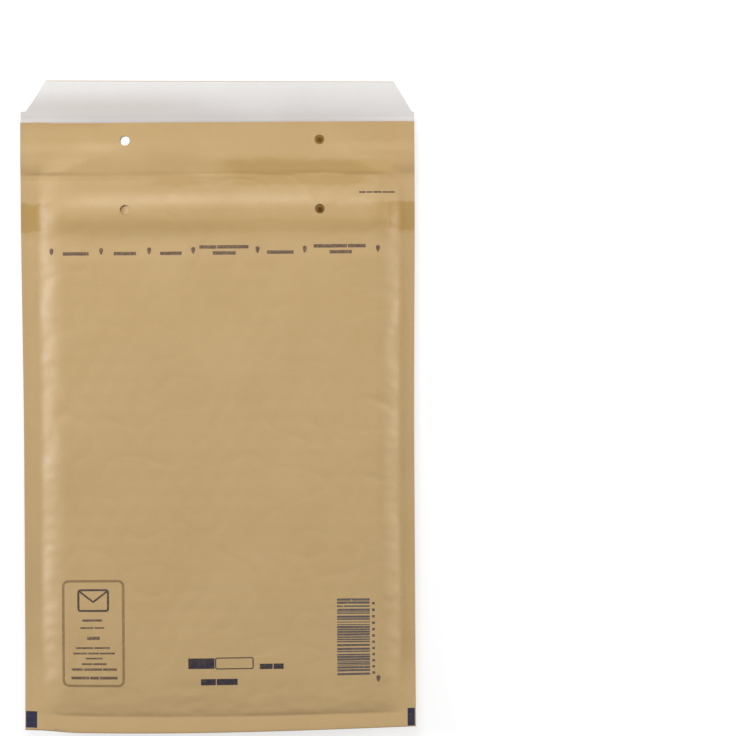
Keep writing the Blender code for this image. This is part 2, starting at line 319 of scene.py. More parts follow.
def back_height(x, y):
    """Middle of the back panel's paper: on the floor under the padding, and the flap's parabola."""
    seam = seam_level(y) - BEND
    body = mixed(seam, PAPER / 2, fullness(x, y))
    along = (y - BODY) / FLAP
    centre = PAPER / 2 + FLAP_LIFT * (1 - ((along - FLAP_CREST) / FLAP_CREST) ** 2)
    side = mixed(seam, centre, FLAP_SPREAD * eased(along))
    return np.where(y <= BODY, body, mixed(side, centre, side_fullness(x, y)))


def crease_depth(x, y):
    """The pressed fold line: a dip with one steep side, deep at the left and right, faint between."""
    left = CREASE_LEFT_DEPTH * bell(x, *CREASE_LEFT)
    faint = CREASE_FAINT + CREASE_VARIES * rough(x, 0 * x, 0.02, 0.06, 3)
    right = CREASE_RIGHT_DEPTH * ease_in(x, *CREASE_RIGHT) * less(x, *CREASE_RIGHT_LESS)
    strength = np.maximum(np.maximum(left, faint), right)
    middle = BODY + CREASE_UP + CREASE_WANDER * rough(x, 0 * x, 0.03, 0.09, 5)
    return CREASE_DEPTH * strength * dip(y - middle, CREASE_ABOVE, CREASE_BELOW)


def telegraph(x, y):
    """The bubbles just showing through: three cosines at 60 degrees, in patches."""
    wave = 2 * math.pi / BUBBLE_ROW
    slant = math.sqrt(3) / 2
    pattern = np.cos(wave * y) + np.cos(wave * (slant * x + y / 2)) + np.cos(wave * (slant * x - y / 2))
    return TELEGRAPH * pattern * (0.6 + 0.5 * rough(x, y, 0.04, 0.10, 11))


def padding_detail(x, y):
    """On the padding: a crest and a trough below the fold, wrinkles, bubbles, and pleats in the shoulders."""
    side = half_width(y) - np.abs(x)
    pad = fullness(x, y) * (y <= BODY)
    bands = CREST_UP * bell(y, *CREST) - TROUGH_DOWN * bell(y, *TROUGH)
    bands = bands * (1 + BAND_VARIES * rough(x, 0.3 * y, 0.05, 0.16, 21)) * less(x, *BAND_LESS)
    lines = np.clip(1 - LINE_SHARPNESS * np.abs(rough(x, y, 0.020, 0.060, 41)), 0, 1)
    wrinkle = WRINKLE * (rough(x, y, 0.030, 0.080, 42) - LINE_SHARE * lines)
    bubbles = mixed(TELEGRAPH_AT_SIDES, 1.0, ease_in(side, *FIELD_EASE)) * telegraph(x, y)
    pleats = rough(0.15 * x, y, 0.010, 0.034, 31) + 0.5 * rough(0.5 * x, y, 0.004, 0.011, 32)
    shoulder = 4 * pad * (1 - pad)
    return pad * (bands + wrinkle + bubbles) + PLEAT * shoulder * pleats


def lip_detail(x, y):
    """Beside and above the fold line: waves, streaks, the drop at the right, the lip's ends, and the left
    seam's rise."""
    side = half_width(y) - np.abs(x)
    inside = eased(side / SIDE_FADE)
    wave = LIP_WAVE * eased((y - BODY) / (0.5 * LIP)) * inside * rough(x, 0.7 * y, 0.030, 0.110, 51)
    streak = STREAK * bell(y, BODY, STREAK_SPREAD) * inside * rough(0.12 * x, y, 0.004, 0.014, 52, 30)
    steep = STEEP * ease_in(x, *STEEP_EASE) * ease_in(side, *STEEP_SIDE_EASE)
    steep = steep * dip(y - BODY - STEEP_UP, STEEP_ABOVE, STEEP_BELOW)
    ends = np.maximum(ease_in(-x, *LIP_ENDS[0]), ease_in(x, *LIP_ENDS[1]))
    step = LIP_STEP * ends * ease_in(y, *LIP_STEP_EASE)
    curl = LIP_CURL * ease_in(-x, *LIP_CURL_EASE) * ease_in(y, LIP_EDGE - LIP_CURL_RUN, LIP_CURL_RUN)
    rise = SEAM_RISE * ease_in(half_width(y) + x, *SEAM_RISE_EASE) * (x < 0) * (1 - side_fullness(x, y))
    return wave + streak - steep - step + curl + rise


def dents(x, y):
    """Single marks: each a bump in x times a bump about a sloping line."""
    return sum(
        -depth * bell(x, at_x, across) * bell(y - slope * (x - at_x), at_y, up)
        for at_x, at_y, across, up, slope, depth in DENTS
    )


def front_height(x, y):
    """Middle of the front panel's paper: seam to field by the fullness, then the lip's eased droop."""
    field = TOP - PAPER / 2 - sink(x, y)
    body = mixed(seam_level(y) + BEND, field, fullness(x, y))
    side = MIDDLE + BEND + LIP_SPRING * ease_in(y, BODY, LIP_SPRING_RUN)
    lip = mixed(side, field - LIP_DROOP * ease_in(y, BODY, LIP), side_fullness(x, y))
    plain = np.where(y <= BODY, body, lip)
    return plain - crease_depth(x, y) + padding_detail(x, y) + lip_detail(x, y) + dents(x, y)


def placed(x, y, z):
    """Points in the frame: the bottom edge's bow is a parabola across that fades out up the envelope, as its
    skew does, and its curl rises evenly from the seam's upper end down to the edge."""
    bow = BOTTOM_BOW * (x / half_width(y)) ** 2
    bow = bow + BOTTOM_SKEW * ease_in(x, *SKEW_EASE) + BOTTOM_CORNER * ease_in(-x, *CORNER_EASE)
    up = bow * (1 - eased(y / BOW_FADE))
    curl = BOTTOM_CURL * np.clip(1 - y / BOTTOM_SEAM, 0, 1)
    return np.stack(np.broadcast_arrays(x, y + up + cad_low.y, z + curl), axis=-1)


def graded(start, end, step, zones=()):
    """Places from start to end, step apart, or closer in zones (middle, half, step). Their density is
    summed along the way and read back at even shares of the sum."""
    way = np.linspace(start, end, 6001)
    density = np.full(way.shape, 1 / step)
    for middle, half, fine in zones:
        density = np.where(np.abs(way - middle) < half, np.maximum(density, 1 / fine), density)
    total = np.concatenate(([0], np.cumsum((density[1:] + density[:-1]) / 2 * np.abs(np.diff(way)))))
    return np.interp(np.linspace(0, total[-1], round(total[-1]) + 1), total, way)


def die_edges(y):
    """The flap's left and right edges: straight sides, then a step in and a chamfer to the tip."""
    lean = CHAMFER_WIDE / CHAMFER_LONG * (y - CHAMFER_FOOT)
    foot = WIDTH / 2 - CHAMFER_STEP
    half = half_width(y)
    left = np.where(y < CHAMFER_FOOT, -half, -foot + DIE_SHIFT - LEFT_CUT + LEFT_LEAN * lean)
    right = np.where(y < CHAMFER_FOOT, half, foot + DIE_SHIFT - lean)
    return left, right


def laid_out(rows, columns):
    """A grid over the paper: shares of the half width across, narrowed near the flap's cut corners."""
    y = np.repeat(rows[:, None], len(columns), axis=1)
    x = columns[None, :] * half_width(y)
    left, right = die_edges(y)
    room = half_width(y) - SQUEEZE_FROM
    x = np.where(x < -SQUEEZE_FROM, -SQUEEZE_FROM + (x + SQUEEZE_FROM) * (-SQUEEZE_FROM - left) / room, x)
    x = np.where(x > SQUEEZE_FROM, SQUEEZE_FROM + (x - SQUEEZE_FROM) * (right - SQUEEZE_FROM) / room, x)
    y = y + (TIP_OUT - TIP_SKEW * x) * np.clip((y - CHAMFER_FOOT) / CHAMFER_LONG, 0, 1)
    y = y + LEFT_STEP_UP * ease_in(-x, *LEFT_STEP_EASE) * bell(y, CHAMFER_FOOT, LEFT_STEP_HALF)
    return x, y


def punched(x, y, holes):
    """Opens round holes in a grid: the square ring of points HOLE_RING cells out is drawn to the circle,
    those further out by less and less, and the cells inside are dropped. Returns x, y and the cells kept."""
    keep = np.ones((x.shape[0] - 1, x.shape[1] - 1), bool)
    for hole_x, hole_y in holes:
        i = np.argmin(np.abs(y[:, 0] - hole_y))
        j = np.argmin(np.abs(x[i] - hole_x))
        down = np.abs(np.arange(x.shape[0]) - i)[:, None]
        across = np.abs(np.arange(x.shape[1]) - j)[None, :]
        ring = np.maximum(down, across)
        turn = np.arctan2(y - y[i, j], x - x[i, j])
        share = np.clip((ring - HOLE_RING) / (HOLE_REACH - HOLE_RING), 0, 1)
        x = mixed(hole_x + HOLE / 2 * np.cos(turn), x, share)
        y = mixed(hole_y + HOLE / 2 * np.sin(turn), y, share)
        corners = (ring[1:, 1:], ring[:-1, :-1], ring[1:, :-1], ring[:-1, 1:])
        keep &= np.maximum.reduce(corners) > HOLE_RING
    return x, y, keep


def between(outer, inner, keep=None):
    """A closed shell from two grids of points: both faces, joined by a wall along every free edge.
    The outer grid lies on the side of (down the rows) cross (along the columns)."""
    rows, columns = outer.shape[:2]
    count = rows * columns
    at = np.arange(count).reshape(rows, columns)
    quads = np.stack([at[:-1, :-1], at[1:, :-1], at[1:, 1:], at[:-1, 1:]], axis=-1)
    quads = quads.reshape(-1, 4) if keep is None else quads[keep]
    edges = np.concatenate([quads[:, [k, (k + 1) % 4]] for k in range(4)])
    one_way = edges[:, 0] * count + edges[:, 1]
    other_way = edges[:, 1] * count + edges[:, 0]
    free = edges[~np.isin(one_way, other_way)]
    wall = np.stack([free[:, 1], free[:, 0], free[:, 0] + count, free[:, 1] + count], axis=-1)
    faces = np.concatenate([quads, quads[:, ::-1] + count, wall])
    used, renumbered = np.unique(faces, return_inverse=True)
    points = np.concatenate([outer.reshape(-1, 3), inner.reshape(-1, 3)])[used]
    return points, renumbered.reshape(faces.shape)


def thickened(points, thickness, keep=None):
    """A sheet of even thickness about a grid: half of it out and half in along the grid's normals."""
    normal = np.cross(np.gradient(points, axis=0), np.gradient(points, axis=1))
    normal /= np.maximum(np.linalg.norm(normal, axis=-1, keepdims=True), 1e-12)
    return between(points + normal * thickness / 2, points - normal * thickness / 2, keep)


def under_paper(face, x, y, depth):
    """Height a depth inside the front panel's paper (face 1) or inside the back panel's (face -1)."""
    middle = front_height(x, y) if face > 0 else back_height(x, y)
    return middle - face * (PAPER / 2 + depth)


def make_piece(name, shells, material, slot, *nodes):
    """Joins closed shells into one object of the scene, which rides on the part and stands for nodes."""
    mesh = bpy.data.meshes.new(name)
    start = np.cumsum([0] + [len(points) for points, _ in shells])
    points = np.concatenate([points for points, _ in shells])
    faces = np.concatenate([faces + first for (_, faces), first in zip(shells, start)])
    mesh.vertices.add(len(points))
    mesh.vertices.foreach_set("co", points.astype(np.float32).ravel())
    mesh.loops.add(faces.size)
    mesh.loops.foreach_set("vertex_index", faces.astype(np.int32).ravel())
    mesh.polygons.add(len(faces))
    mesh.polygons.foreach_set("loop_start", np.arange(0, faces.size, 4, dtype=np.int32))
    mesh.update(calc_edges=True)
    mesh.shade_smooth()
    mesh.set_sharp_from_angle(angle=SHARP_ANGLE)
    mesh.materials.append(material)
    made = bpy.data.objects.new(name, mesh)
    bpy.context.scene.collection.objects.link(made)
    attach(made, "root")
    if nodes:
        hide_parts(*nodes)
    return made


def even_columns(step):
    """Shares of the half width from edge to edge, about step apart."""
    return np.linspace(-1, 1, round(WIDTH / step) + 1)


def hanging_disc():
    """The disc left in the lower left hole: a square grid bent to a circle, tipped down about its hinge."""
    span = np.linspace(-1, 1, DISC_POINTS)
    u, v = np.meshgrid(span, span)
    x = u * np.sqrt(1 - v * v / 2) * DISC / 2
    y = v * np.sqrt(1 - u * u / 2) * DISC / 2
    from_hinge = HOLE / 2 - (x * math.cos(DISC_HINGE) + y * math.sin(DISC_HINGE))
    back = from_hinge * (1 - math.cos(DISC_TILT))
    hole_x, hole_y = LOWER_HOLES[0]
    x = hole_x + x + back * math.cos(DISC_HINGE)
    y = hole_y + y + back * math.sin(DISC_HINGE)
    level = front_height(np.array(hole_x), np.array(hole_y))
    z = level - from_hinge * math.sin(DISC_TILT)
    return thickened(placed(x, y, z)[::-1], PAPER)


def kraft_sheet(material):
    """The folded blank as one grid: down the front from the lip, half round the bottom fold, up the back."""
    columns = even_columns(CELL)
    holes = LOWER_HOLES + UPPER_HOLES
    front_rows = graded(LIP_EDGE, BEND_CENTRE, CELL, FRONT_ZONES)
    lower = graded(BEND_CENTRE, CHAMFER_FOOT - STEP_ROW, BACK_CELL, BACK_ZONES)
    back_rows = np.concatenate([lower, graded(CHAMFER_FOOT + STEP_ROW, TOTAL, FLAP_CELL)])

    front_x, front_y, front_keep = punched(*laid_out(front_rows, columns), holes)
    back_x, back_y, back_keep = punched(*laid_out(back_rows, columns), holes)
    turn = np.linspace(0, math.pi, BEND_ROWS + 2)[1:-1]
    bend_x, bend_y = laid_out(BEND_CENTRE - BEND * np.sin(turn), columns)
    bend_z = seam_level(bend_y) + BEND * np.cos(turn)[:, None]

    front = placed(front_x, front_y, front_height(front_x, front_y))
    bend = placed(bend_x, bend_y, bend_z)
    back = placed(back_x, back_y, back_height(back_x, back_y))
    whole = np.ones((BEND_ROWS + 1, len(columns) - 1), bool)
    points, keep = np.concatenate([front, bend, back]), np.concatenate([front_keep, whole, back_keep])
    sheet = thickened(points, PAPER, keep)
    make_piece("kraft_sheet", [sheet, hanging_disc()], material, "kraft_outer", "kraft_outer")


def domes(x, y):
    """Bubbles in a honeycomb, 0 between them and 1 on their flattened tops: (1 - r^3.5)^0.6."""
    best = np.zeros(x.shape)
    for next_row in (0, 1):
        row = np.floor(y / BUBBLE_ROW) + next_row
        offset = (row % 2) * BUBBLE_PITCH / 2
        middle = np.round((x - offset) / BUBBLE_PITCH) * BUBBLE_PITCH + offset
        radius = np.hypot(x - middle, y - row * BUBBLE_ROW) / (BUBBLE / 2)
        best = np.maximum(best, np.clip(1 - radius**3.5, 0, 1) ** 0.6)
    return best


def film_wall(face):
    """One wall of the lining (face 1 front, -1 back): smooth towards the pocket, bubbles to the paper."""
    row_step = BUBBLE_ROW / FILM_ROW_CELLS
    rows = np.append(np.arange(BEND_CENTRE + GAP, LINING_TOP - row_step / 2, row_step), LINING_TOP)
    rows = rows[::-1] if face > 0 else rows
    x, y, keep = punched(*laid_out(rows, np.linspace(-1, 1, FILM_COLUMNS + 1)), LOWER_HOLES)
    full = fullness(x, y)
    opened = side_fullness(x, y) * ease_in(y, BOTTOM_SEAM, POCKET_SHOULDER)
    inner = mixed(seam_level(y), MIDDLE, full) + face * mixed(FILM / 3, POCKET / 2, opened)
    land = inner + face * FILM * 2 / 3
    rise = domes(x * WIDTH / 2 / half_width(y), y) * eased((LINING_TOP - y) / MOUTH_SEAL)
    outer = mixed(land, under_paper(face, x, y, BETWEEN), rise * ease_in(full, 0, BUBBLES_FULL))
    return between(placed(x, y, outer), placed(x, y, inner), keep)


def bubble_lining(material):
    """Both walls of the film, as one piece of the padding."""
    walls = [film_wall(1), film_wall(-1)]
    lining = make_piece("bubble_lining", walls, material, "bubble_liner", "bubble_liner")


def glue_bead(name, face, node, material):
    """Hot glue between the film and a panel: a thin strip with ragged long edges."""
    across = even_columns(BAND_CELL)[None, :] * half_width(GLUE_TOP)
    x = np.repeat(across, GLUE_ROWS, axis=0) * GLUE_ACROSS
    share = np.linspace(0, 1, GLUE_ROWS)[:, None]
    y = mixed(GLUE_BASE, GLUE_TOP, share) + GLUE_RAGGED * rough(x, 0 * x, 0.006, 0.03, 61 + face)
    if face > 0:
        x, y = x[::-1], y[::-1]
    x, y, keep = punched(x, y, LOWER_HOLES)
    z = under_paper(face, x, y, GAP + GLUE / 2)
    make_piece(name, [thickened(placed(x, y, z), GLUE * GLUE_FILLS, keep)], material, "glue", node)


def flap_band(rows, side_margin, rise, thickness, ripple):
    """A strip lying on the flap: the flap's height plus its rise, with a slight ripple of its own."""
    x, y = laid_out(rows, even_columns(BAND_CELL))
    x = np.clip(x, side_margin - WIDTH / 2, WIDTH / 2 - side_margin)
    lift = ripple * (0.5 + 0.5 * rough(x, y, 0.02, 0.07, 71)) * ease_in(y, rows[0], RIPPLE_RUN)
    z = back_height(x, y) + PAPER / 2 + rise + thickness / 2 + lift
    return thickened(placed(x, y, z)[::-1], thickness)


def flap_adhesive(material):
    """The band of adhesive under the release strip."""
    low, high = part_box("flap_adhesive")
    rows = np.linspace(low.y - cad_low.y, high.y - cad_low.y, ADHESIVE_ROWS)
    shell = flap_band(rows, WIDTH / 2 - high.x, GAP, ADHESIVE, 0.0)
    make_piece("adhesive_band", [shell], material, "flap_adhesive", "flap_adhesive")


def release_strip(material):
    """The white paper over the adhesive, from behind the lip nearly to the tip."""
    below = graded(LIP_EDGE - STRIP_TUCK, CHAMFER_FOOT - STEP_ROW, STRIP_CELL)
    above = graded(CHAMFER_FOOT + STEP_ROW, TOTAL - STRIP_TIP_MARGIN, STRIP_CELL)
    shell = flap_band(np.concatenate([below, above]), 0.0, 2 * GAP + ADHESIVE, STRIP, STRIP_RIPPLE)
    make_piece("release_paper", [shell], material, "release_strip", "release_strip")


def node_in(tree, kind, inputs=None, **settings):
    """Adds a shader node, sets its properties, and joins each input to a socket or sets its value."""
    node = tree.nodes.new("ShaderNode" + kind)
    for key, value in settings.items():
        setattr(node, key, value)
    for name, term in (inputs or {}).items():
        if isinstance(term, bpy.types.NodeSocket):
            tree.links.new(term, node.inputs[name])
        else:
            node.inputs[name].default_value = term
    return node


def arithmetic(tree, operation, *terms):
    """A Math node; each term is a socket or a number."""
    return node_in(tree, "Math", dict(enumerate(terms)), operation=operation).outputs[0]


def times(tree, first, second):
    """The product of two terms."""
    return arithmetic(tree, "MULTIPLY", first, second)


def highest(tree, first, *others):
    """The highest of its terms."""
    for term in others:
        first = arithmetic(tree, "MAXIMUM", first, term)
    return first


def ranged(tree, value, start, end, low=0.0, high=1.0):
    """low where the value is at start, high where it is at end, in proportion between and held outside."""
    terms = {0: value, 1: start, 2: end, 3: low, 4: high}
    return node_in(tree, "MapRange", terms).outputs[0]


def noise(tree, point, **inputs):
    """Smooth noise at a point."""
    return node_in(tree, "TexNoise", {"Vector": point, **inputs}).outputs[0]


def axes_of(tree, point):
    """A point's X, Y and Z."""
    return node_in(tree, "SeparateXYZ", {0: point}).outputs


def blend_colours(tree, share, first, second):
    """A colour Mix node; share, first and second are sockets or values."""
    terms = {0: share, 6: first, 7: second}
    return node_in(tree, "Mix", terms, data_type="RGBA", clamp_factor=True).outputs[2]


def new_group(name, inputs, outputs):
    """A shader node group with named inputs, a float or a vector like their value, and float outputs."""
    tree = bpy.data.node_groups.new(name, "ShaderNodeTree")
    for socket_name, value in inputs.items():
        kind = "NodeSocketVector" if isinstance(value, tuple) else "NodeSocketFloat"
        socket = tree.interface.new_socket(socket_name, in_out="INPUT", socket_type=kind)
        socket.default_value = value
    for socket_name in outputs:
        tree.interface.new_socket(socket_name, in_out="OUTPUT", socket_type="NodeSocketFloat")
    return tree, tree.nodes.new("NodeGroupInput"), tree.nodes.new("NodeGroupOutput")


def paper_grain_group():
    """Fibres, cloudy formation and specks of a sheet of paper, as masks."""
    inputs = {"Vector": (0.0, 0.0, 0.0), "Fibre scale": 900.0}
    tree, given, result = new_group("paper grain", inputs, ("Cloud", "Fibre", "Speck"))
    point, scale = given.outputs["Vector"], given.outputs["Fibre scale"]
    cloud = noise(tree, point, Scale=38.0, Detail=4.0, Roughness=0.62)
    along = node_in(tree, "Mapping", {"Vector": point, "Scale": (1.0, 0.22, 1.0)}).outputs[0]
    turned = {"Vector": point, "Scale": (0.25, 1.0, 1.0), "Rotation": (0, 0, 0.5)}
    cross = node_in(tree, "Mapping", turned).outputs[0]
    first = noise(tree, along, Scale=scale, Detail=3.0, Roughness=0.7, Distortion=0.6)
    wider = times(tree, scale, 0.7)
    second = noise(tree, cross, Scale=wider, Detail=2.0, Roughness=0.6, Distortion=0.9)
    fibre = arithmetic(tree, "MULTIPLY_ADD", second, 0.45, times(tree, first, 0.55))
    places = {"Vector": point, "Scale": 420.0, "Randomness": 1.0}
    cells = node_in(tree, "TexVoronoi", places).outputs
    spot = ranged(tree, cells["Distance"], 0.05, 0.13, 1.0, 0.0)
    speck = times(tree, spot, arithmetic(tree, "GREATER_THAN", cells["Color"], 0.80))
    for name, mask in (("Cloud", cloud), ("Fibre", fibre), ("Speck", speck)):
        tree.links.new(mask, result.inputs[name])
    return tree


def band_group():
    """1 inside a band about Middle and 0 outside it, with soft edges."""
    inputs = {"Value": 0.0, "Middle": 0.0, "Half": 0.01, "Softness": 0.001}
    tree, given, result = new_group("soft band", inputs, ("Mask",))
    value, middle, half, softness = [given.outputs[name] for name in inputs]
    away = arithmetic(tree, "ABSOLUTE", arithmetic(tree, "SUBTRACT", value, middle))
    share = arithmetic(tree, "DIVIDE", arithmetic(tree, "SUBTRACT", half, away), softness)
    terms = {0: share, 1: -1.0, 2: 1.0}
    mask = node_in(tree, "MapRange", terms, interpolation_type="SMOOTHSTEP")
    tree.links.new(mask.outputs[0], result.inputs["Mask"])
    return tree


def new_material(name, colour, roughness, **sockets):
    """A material with a Principled shader. Even values are set on its own sockets."""
    made = bpy.data.materials.new(name)
    made.use_nodes = True
    tree = made.node_tree
    shader = tree.nodes["Principled BSDF"]
    shader.inputs["Base Color"].default_value = (*colour, 1.0)
    shader.inputs["Roughness"].default_value = roughness
    for socket, value in sockets.items():
        shader.inputs[socket.replace("_", " ")].default_value = value
    return made, tree, shader


def object_point(tree):
    """The place on the object, in its own frame."""
    return node_in(tree, "TexCoord").outputs["Object"]


def grain_node(tree, point, fibre_scale):
    """The paper grain's masks at a point."""
    terms = {"Vector": point, "Fibre scale": fibre_scale}
    return node_in(tree, "Group", terms, node_tree=PAPER_GRAIN).outputs


def band_node(tree, value, middle, half, softness):
    """The soft band's mask of a value."""
    terms = {"Value": value, "Middle": middle, "Half": half, "Softness": softness}
    return node_in(tree, "Group", terms, node_tree=SOFT_BAND).outputs["Mask"]


def bump_from(tree, height, distance, shader):
    """Lets a height between 0 and 1 stand up by the distance in a shader's normal."""
    terms = {"Strength": 1.0, "Distance": distance, "Height": height}
    tree.links.new(node_in(tree, "Bump", terms).outputs[0], shader.inputs["Normal"])


KRAFT = (0.510, 0.338, 0.146)
KRAFT_LIGHT = (0.570, 0.392, 0.184)
KRAFT_DARK = (0.420, 0.268, 0.110)
# Brown of the glue stain, also used for the painted shade along the fold line
STAIN_AND_SHADE_BROWN = (0.425, 0.255, 0.062)
FILM_CLEAR = (0.84, 0.86, 0.86)
RELEASE_WHITE = (0.80, 0.775, 0.75)
# Release paper colours: the first pair plain, the second pair darker, a painted shade from the lip
UNSHADED_WHITES = ((0.745, 0.725, 0.700, 1), (0.775, 0.755, 0.720, 1))
LIP_SHADED_WHITES = ((0.600, 0.560, 0.545, 1), (0.640, 0.605, 0.575, 1))
LIP_SHADE = (0.585, 0.535, 0.490, 1)

# Soft bands of the glue stain and of the painted shade along the fold line: middle, half and softness, across
# the envelope and up it
STAIN_AND_SHADE_DRIFT = 0.006
GLUE_MIDDLE = (GLUE_TOP + GLUE_BASE) / 2 + cad_low.y
STAIN_AND_SHADE_ACROSS = {
    "off the seams": (-0.00175, 0.08775, 0.0010),
    "left end": (-0.0880, 0.0040, 0.0030),
    "right end": (0.0860, 0.0100, 0.0060),
    "right half": (0.0450, 0.0430, 0.0080),
    "left patch": (-0.0210, 0.0120, 0.0050),
    "right patch": (0.0420, 0.0340, 0.0060),
}
STAIN_AND_SHADE_UP = {
    "glue line": (GLUE_MIDDLE, (GLUE_TOP - GLUE_BASE) / 2, 0.0008),
    "below it": (GLUE_MIDDLE - 0.0040, 0.0045, 0.0045),
    # These two bands are painted shade, over and under the fold line
    "shade over the fold": (BODY + 0.0036 + cad_low.y, 0.0044, 0.0028),
    "shade under the fold": (BODY - 0.0024 + cad_low.y, 0.0030, 0.0016),
}


def glue_stain_and_fold_shade(tree, point):
    """Where the glue shows through: a faint band across the front, and strong at the two side seams; and
    painted shade along the fold line, over and under it, with the lip above the lining a little darker.
    """
    wander = noise(tree, point, Scale=90.0, Detail=3.0, Roughness=0.6)
    drift = times(tree, arithmetic(tree, "SUBTRACT", wander, 0.5), STAIN_AND_SHADE_DRIFT)
    axes = axes_of(tree, point)
    up = arithmetic(tree, "ADD", axes["Y"], drift)
    sideways = arithmetic(tree, "ADD", axes["X"], drift)
    across = {name: band_node(tree, sideways, *numbers) for name, numbers in STAIN_AND_SHADE_ACROSS.items()}
    rising = {name: band_node(tree, up, *numbers) for name, numbers in STAIN_AND_SHADE_UP.items()}

    seams = arithmetic(tree, "SUBTRACT", 1.0, across["off the seams"])
    fainter = ranged(tree, axes["Y"], GLUE_TOP + cad_low.y, GLUE_BASE + cad_low.y, 0.2, 1.5)
    between_ends = times(tree, ranged(tree, axes["X"], -0.055, -0.025, 0.10, 0.24), fainter)
    ends = highest(
        tree, times(tree, seams, 0.77), times(tree, across["right end"], 0.42),
        times(tree, across["left end"], 0.45), between_ends,
    )
    line = highest(tree, times(tree, rising["glue line"], ends), times(tree, rising["below it"], 0.34))

    # Painted shade along the fold line: over it across the right half, under it in two patches
    share = arithmetic(tree, "MULTIPLY_ADD", across["right half"], 0.42, 0.16)
    unlined = arithmetic(tree, "GREATER_THAN", axes["Y"], LINING_TOP + cad_low.y)
    left_patch = times(tree, across["left patch"], 0.34)
    patches = arithmetic(tree, "MULTIPLY_ADD", across["right patch"], 0.55, left_patch)
    fold = highest(
        tree, times(tree, rising["shade over the fold"], share), times(tree, unlined, 0.16),
        times(tree, rising["shade under the fold"], patches),
    )
    front = arithmetic(tree, "GREATER_THAN", axes["Z"], MIDDLE)
    return times(tree, highest(tree, line, fold), front)


def kraft_material():
    """Brown kraft paper: cloudy, with lighter fibres, dark specks, the glue's stain and painted shade along
    the fold line.
    """
    made, tree, shader = new_material("brown kraft paper", KRAFT, 0.47, Specular_IOR_Level=0.60)
    point = object_point(tree)
    grain = grain_node(tree, point, 900.0)
    half_light = [0.5 * (a + b) for a, b in zip(KRAFT, KRAFT_LIGHT)]
    cloud = ranged(tree, grain["Cloud"], 0.30, 0.70)
    colour = blend_colours(tree, cloud, (*KRAFT, 1), (*half_light, 1))
    fibre = times(tree, ranged(tree, grain["Fibre"], 0.34, 0.68, 0.0, 0.55), 0.55)
    colour = blend_colours(tree, fibre, colour, (*KRAFT_LIGHT, 1))
    colour = blend_colours(tree, times(tree, grain["Speck"], 0.35), colour, (*KRAFT_DARK, 1))
    # Glue stain, and painted shade along the fold line, in one brown
    colour = blend_colours(tree, glue_stain_and_fold_shade(tree, point), colour, (*STAIN_AND_SHADE_BROWN, 1))
    tree.links.new(colour, shader.inputs["Base Color"])
    tree.links.new(ranged(tree, grain["Fibre"], 0.3, 0.7, 0.52, 0.38), shader.inputs["Roughness"])
    bump_from(tree, grain["Fibre"], 0.00005, shader)
    return made


def white_paper_material():
    """White release paper: with painted shade, browner towards the lip as if the lip shaded it, less of that
    shade in a lighter line along the lip, and a painted shade to the left of it."""
    made, tree, shader = new_material("white release paper", RELEASE_WHITE, 0.38, Specular_IOR_Level=0.5)
    point = object_point(tree)
    grain = grain_node(tree, point, 1100.0)
    tint = ranged(tree, grain["Cloud"], 0.32, 0.68)
    axes = axes_of(tree, point)
    lip = LIP_EDGE + cad_low.y
    unshaded = blend_colours(tree, tint, *UNSHADED_WHITES)
    lip_shaded = blend_colours(tree, tint, *LIP_SHADED_WHITES)
    line = band_node(tree, axes["Y"], lip + 0.0012, 0.0011, 0.0008)
    less_at_line = arithmetic(tree, "MULTIPLY_ADD", line, -0.55, 1.0)
    # Painted shade: darker towards the lip, and less of it in the line along the lip
    share = times(tree, ranged(tree, axes["Y"], lip, cad_high.y, 1.0, 0.0), less_at_line)
    colour = blend_colours(tree, share, unshaded, lip_shaded)
    left = times(tree, ranged(tree, axes["X"], 0.0150, -0.0350), 0.75)
    shade = times(tree, band_node(tree, axes["Y"], lip + 0.0085, 0.0040, 0.0060), left)
    tree.links.new(blend_colours(tree, shade, colour, LIP_SHADE), shader.inputs["Base Color"])
    bump_from(tree, grain["Fibre"], 0.00002, shader)
    return made


def film_material():
    """Clear bubble film, a little hazy in patches."""
    made, tree, shader = new_material("bubble film", FILM_CLEAR, 0.22, Alpha=0.55, Specular_IOR_Level=0.5)
    haze = noise(tree, object_point(tree), Scale=160.0, Detail=3.0, Roughness=0.6)
    tree.links.new(ranged(tree, haze, 0.3, 0.7, 0.16, 0.34), shader.inputs["Roughness"])
    bump_from(tree, haze, 0.00005, shader)
    return made


def glue_material(name, colour, alpha):
    """Glue with slight lumps, darker in places."""
    made, tree, shader = new_material(name, colour, 0.30, Alpha=alpha)
    lumps = noise(tree, object_point(tree), Scale=300.0, Detail=2.0)
    darker = [0.8 * c for c in colour]
    tree.links.new(blend_colours(tree, lumps, (*darker, 1), (*colour, 1)), shader.inputs["Base Color"])
    bump_from(tree, lumps, 0.0001, shader)
    return made


def ink_material(name, colour, thin):
    """Flexo ink: its colour, broken up a little where fibres take less of it."""
    made, tree, shader = new_material(name, colour, 0.55, Specular_IOR_Level=0.3)
    grain = grain_node(tree, object_point(tree), 1500.0)
    bare = ranged(tree, grain["Fibre"], 0.45, 0.70, 0.0, thin)
    tree.links.new(blend_colours(tree, bare, (*colour, 1), (*KRAFT, 1)), shader.inputs["Base Color"])
    return made


def ribbon(path, half_widths, across=3):
    """A printed stroke: the path's points moved out by the half width along its normals, both ways."""
    path = np.asarray(path, float)
    along = np.gradient(path, axis=0)
    along /= np.linalg.norm(along, axis=1, keepdims=True)
    normal = np.stack([-along[:, 1], along[:, 0]], axis=-1)
    share = np.linspace(1, -1, across)[None, :, None]
    width = np.broadcast_to(half_widths, len(path))[:, None, None]
    spots = path[:, None, :] + normal[:, None, :] * share * width
    x, y = spots[..., 0], spots[..., 1]
    z = front_height(x, y) + PAPER / 2 + INK_LIFT + INK / 2
    return thickened(placed(x, y, z), INK)


